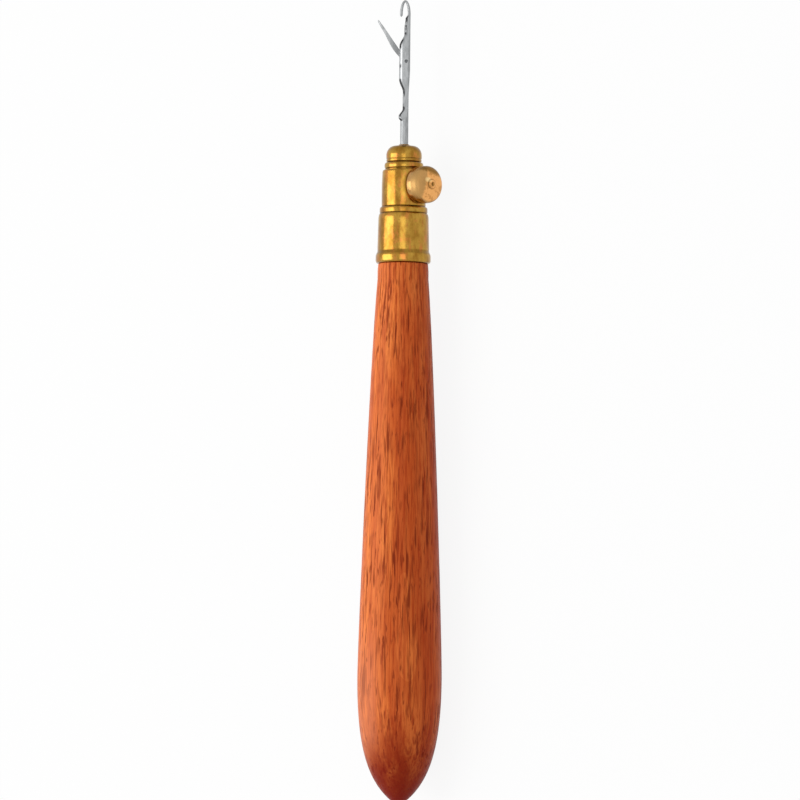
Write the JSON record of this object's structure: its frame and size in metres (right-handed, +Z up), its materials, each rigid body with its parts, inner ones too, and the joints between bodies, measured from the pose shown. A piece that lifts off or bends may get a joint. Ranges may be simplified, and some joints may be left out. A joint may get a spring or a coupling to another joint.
{
  "type": "bead embroidery hook",
  "caption": "Latch hook for bead embroidery: turned wooden handle, brass ferrule and needle holder with a thumb screw, and a steel latch needle.",
  "frame": {"origin": "centre of the flat at the butt end of the handle, on the tool's axis", "axes": "+Y along the tool from the butt to the tip of the hook, +X along the thumb screw from the axis outwards, +Z up with the tool lying on its side"},
  "size_m": [0.0153, 0.1443, 0.0152],
  "materials": {
    "handle_wood": "satin lacquer over reddish open-pored wood",
    "ferrule_brass": "polished, with faint turning lines",
    "holder_brass": "polished, with faint turning lines",
    "screw_brass": "satin",
    "needle_steel": "bright drawn steel",
    "rivet_steel": "dull steel"
  },
  "bodies": {
    "tool": {"handle": "handle_wood", "ferrule": "ferrule_brass", "collar_ring": "ferrule_brass", "needle_holder": "holder_brass", "nose_cap": "holder_brass"},
    "screw_shank": {"thumb_screw_shank": "screw_brass"},
    "screw_head": {"thumb_screw_head": "screw_brass"},
    "needle": {"latch_needle": "needle_steel", "latch_rivet": "rivet_steel"},
    "latch": {"latch": "needle_steel"}
  },
  "joints": [
    {"name": "screw_travel", "type": "slide", "parent": "tool", "child": "screw_shank", "axis": [1, 0, 0], "range_m": [0, 0.00315]},
    {"name": "screw_turn", "type": "hinge", "parent": "screw_shank", "child": "screw_head", "pos_m": [0, 0.11065, 0], "axis": [1, 0, 0], "range_deg": [0, 2521]},
    {"name": "needle_slide", "type": "slide", "parent": "tool", "child": "needle", "axis": [0, 1, 0], "range_m": [0, 0.016]},
    {"name": "latch_swing", "type": "hinge", "parent": "needle", "child": "latch", "pos_m": [0.00016, 0.13325, -0.00017], "axis": [0.7278, 0, 0.6858], "range_deg": [-25, 135]}
  ],
  "couplings": [
    {"joint": "screw_turn", "follows": "screw_travel", "rad_per_m": 13963}
  ]
}
